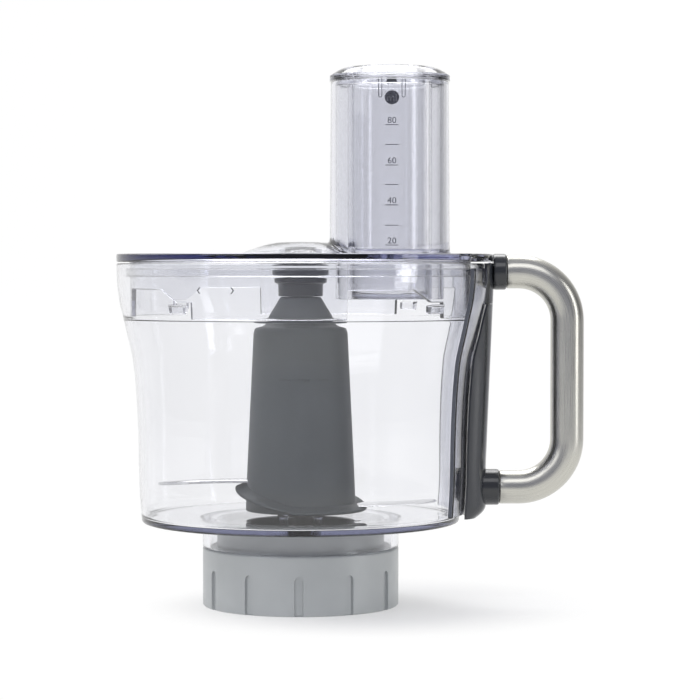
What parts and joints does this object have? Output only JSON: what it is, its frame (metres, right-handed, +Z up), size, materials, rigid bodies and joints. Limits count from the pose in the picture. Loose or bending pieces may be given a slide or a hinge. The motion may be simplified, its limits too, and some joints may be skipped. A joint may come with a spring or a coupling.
{
  "type": "food processor bowl",
  "caption": "Clear food processor bowl for a stand mixer, with a lid, feed tube, nested pushers, twin-blade knife on a tall hub, a turning base collar and a steel tube handle.",
  "frame": {"origin": "centre of the bounding box at table height; the bowl's axis is 24.5 mm to its left", "axes": "+Z up, the handle towards +X, the front towards -Y"},
  "size_m": [0.231, 0.182, 0.2675],
  "materials": {
    "clear_plastic": "clear moulded plastic with a faint violet-blue tint",
    "smoke_plastic": "smoky grey gloss moulding",
    "satin_plastic": "satin silver-grey moulding",
    "grey_plastic": "matt mid-grey moulding",
    "dark_plastic": "dark grey semi-gloss moulding",
    "brushed_steel": "stainless tube with fine brushing along its length",
    "steel": "plain stainless steel",
    "bronze": "sintered bronze",
    "seal_rubber": "black lip seal",
    "pale_rubber": "translucent grey silicone"
  },
  "bodies": {
    "bowl_body": {"bowl": "clear_plastic", "base_collar": "satin_plastic", "collar_screw_1": "steel", "collar_screw_2": "steel", "collar_screw_3": "steel", "shaft_bush_lower": "bronze", "shaft_seal": "seal_rubber", "shaft_bush_upper": "bronze", "handle_mount": "smoke_plastic", "handle_cover": "smoke_plastic", "handle_tube": "brushed_steel", "handle_socket_top": "dark_plastic", "handle_socket_low": "dark_plastic", "handle_plug_top": "dark_plastic", "handle_plug_low": "dark_plastic", "handle_bolt_top": "steel", "handle_bolt_low": "steel"},
    "drive_body": {"drive_coupling": "dark_plastic", "drive_shaft": "steel", "drive_pin": "steel", "thrust_washer": "steel", "circlip": "steel", "knife_hub": "grey_plastic", "blade_lower": "steel", "blade_upper": "steel", "hub_cap": "dark_plastic"},
    "seal_body": {"lid_gasket": "pale_rubber"},
    "lid_body": {"lid": "clear_plastic", "lid_bearing_cup": "dark_plastic"},
    "outer_pusher_body": {"outer_pusher": "clear_plastic"},
    "inner_pusher_body": {"inner_pusher": "clear_plastic"},
    "interlock_body": {"interlock_plunger": "steel", "interlock_spring": "steel"}
  },
  "joints": [
    {"name": "drive_spin", "type": "hinge", "parent": "bowl_body", "child": "drive_body", "pos_m": [-0.0245, 0, 0.03], "axis": [0, 0, 1], "continuous": true},
    {"name": "lid_lift", "type": "slide", "parent": "bowl_body", "child": "seal_body", "axis": [0, 0, 1], "range_m": [0, 0.05]},
    {"name": "lid_turn", "type": "hinge", "parent": "seal_body", "child": "lid_body", "pos_m": [-0.0245, 0, 0.17], "axis": [0, 0, 1], "range_deg": [0, 25]},
    {"name": "outer_pusher_lift", "type": "slide", "parent": "lid_body", "child": "outer_pusher_body", "axis": [0, 0, 1], "range_m": [0, 0.112]},
    {"name": "inner_pusher_lift", "type": "slide", "parent": "outer_pusher_body", "child": "inner_pusher_body", "axis": [0, 0, 1], "range_m": [0, 0.112]},
    {"name": "interlock_press", "type": "slide", "parent": "bowl_body", "child": "interlock_body", "axis": [0, 0, 1], "range_m": [0, 0.003], "deforming": ["interlock_spring"]}
  ],
  "couplings": [
    {"joint": "interlock_press", "follows": "lid_turn", "m_per_rad": 0.006646}
  ]
}
